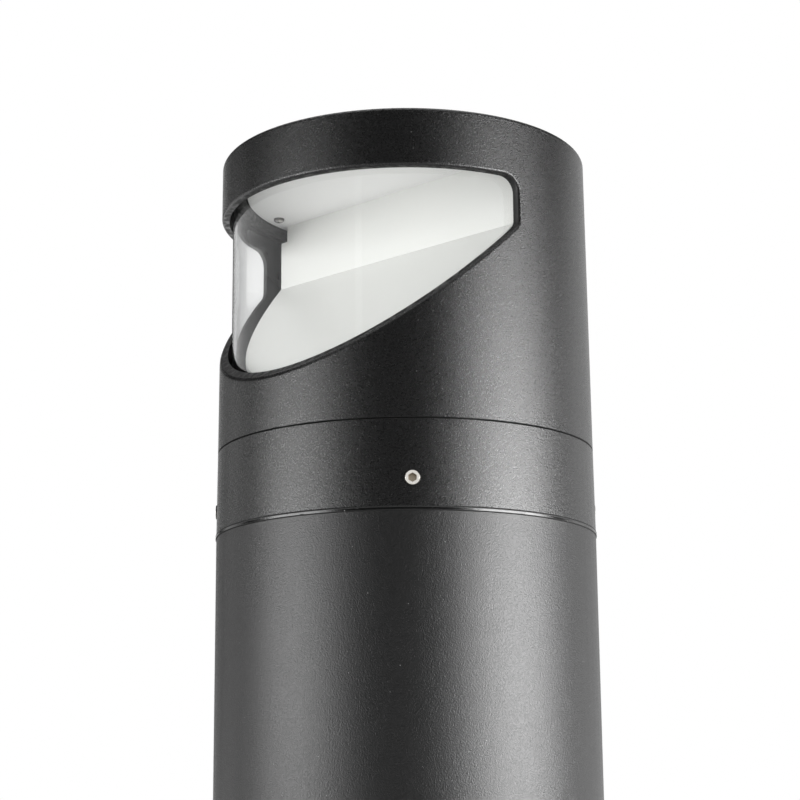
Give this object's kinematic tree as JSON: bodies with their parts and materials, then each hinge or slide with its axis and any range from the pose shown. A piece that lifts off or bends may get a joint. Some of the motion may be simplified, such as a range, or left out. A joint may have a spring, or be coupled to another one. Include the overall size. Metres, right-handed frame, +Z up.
{
  "type": "bollard light",
  "caption": "Round garden bollard light: a column with a turnable cast head, a sloped window, a clear sleeve, a white reflector and an opal diffuser, fixed by its base disc.",
  "frame": {"origin": "centre of the base disc's underside, on the ground", "axes": "+Z up along the column's axis, -Y out of the head's window, +X to the right of a person who faces the window from the rear of the column"},
  "size_m": [0.2008, 0.2008, 1],
  "materials": {
    "black_coat": "fine-textured satin black powder coat on aluminium",
    "black_rubber": "matt black silicone",
    "gloss_rubber": "glossy black rubber",
    "clear_plastic": "clear polycarbonate, polished",
    "opal_plastic": "opal diffuser, satin",
    "white_coat": "satin white reflector coat on sheet aluminium",
    "board_white": "white solder mask on an aluminium core",
    "led_yellow": "phosphor",
    "stainless": "bright stainless steel",
    "zinc_steel": "zinc-plated sheet",
    "lead_black": "rubber-sheathed lead",
    "plug_black": "moulded nylon",
    "bare_aluminium": "raw casting with machined faces",
    "driver_case": "potted plastic case",
    "box_grey": "moulded grey plastic",
    "strip_ivory": "moulded terminal strip",
    "brass": "turned brass"
  },
  "bodies": {
    "head": {"head_shell": "black_coat", "shell_seal": "black_rubber", "lens": "clear_plastic", "lens_top_seal": "black_rubber", "lens_bottom_seal": "black_rubber", "diffuser": "opal_plastic", "diffuser_screws": "stainless", "led_board": "board_white", "led_chips": "led_yellow", "led_board_screws": "stainless", "lead_grommet": "black_rubber", "reflector": "white_coat", "reflector_bracket": "zinc_steel", "reflector_nuts": "stainless", "bracket_screws": "stainless", "tie_screws": "stainless", "collar": "black_coat", "clamp_screws": "stainless", "head_lead": "lead_black", "lead_plug": "plug_black"},
    "column": {"lead_socket": "plug_black", "post_lead": "lead_black", "spigot": "bare_aluminium", "spigot_screws": "stainless", "column_gasket": "gloss_rubber", "column_tube": "black_coat", "gear_tray": "zinc_steel", "gear_tray_screws": "stainless", "driver": "driver_case", "driver_screws": "stainless", "terminal_box": "box_grey", "terminal_lid": "box_grey", "terminal_strip": "strip_ivory", "terminal_lid_screws": "stainless", "cable_gland": "box_grey", "mains_lead": "lead_black", "base_flange": "bare_aluminium", "base_side_screws": "stainless", "earth_stud": "brass", "earth_nuts": "brass"}
  },
  "joints": [
    {"name": "head_turn", "type": "hinge", "parent": "column", "child": "head", "pos_m": [0, 0, 0.815], "axis": [0, 0, 1], "range_deg": [-175, 175]}
  ]
}
